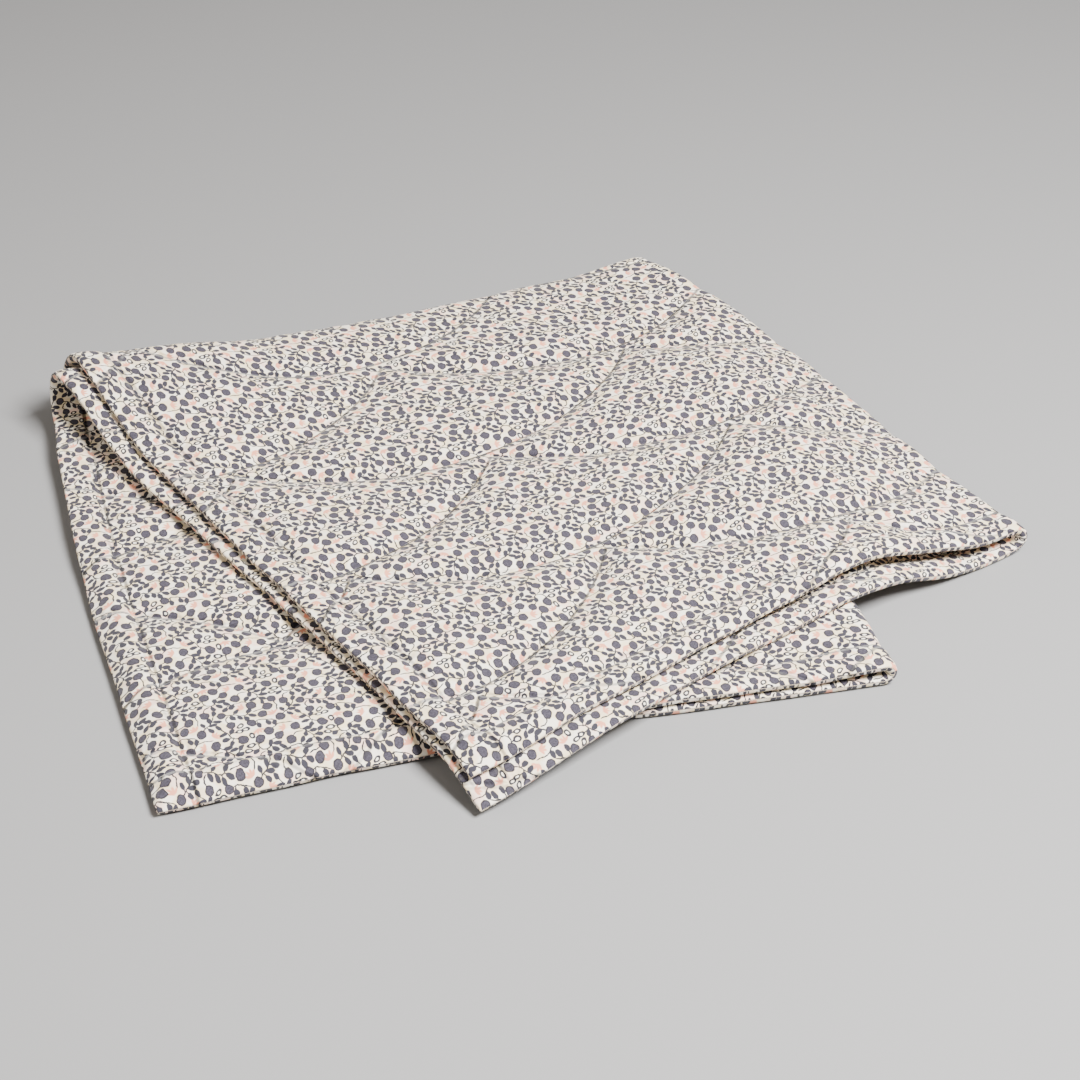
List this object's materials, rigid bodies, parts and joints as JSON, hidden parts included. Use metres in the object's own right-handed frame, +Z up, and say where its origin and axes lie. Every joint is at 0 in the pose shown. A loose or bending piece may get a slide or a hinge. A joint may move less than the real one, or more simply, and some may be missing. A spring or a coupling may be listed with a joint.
{
  "type": "folded baby quilt",
  "caption": "Light padded cotton baby quilt, folded into four layers with two rounded folds, its leaf print and clamshell quilting on both faces.",
  "frame": {"origin": "centre of the bounding box at the surface that the quilt lies on", "axes": "+Z up, +X along the longest side of the folded quilt's box, with the open corners of the flaps at low Y"},
  "size_m": [0.6724, 0.633, 0.0535],
  "materials": {
    "printed_cotton": "matte printed cotton, cream ground with small slate-grey leaves"
  },
  "bodies": {
    "root": {"quilt": "printed_cotton"}
  },
  "joints": []
}
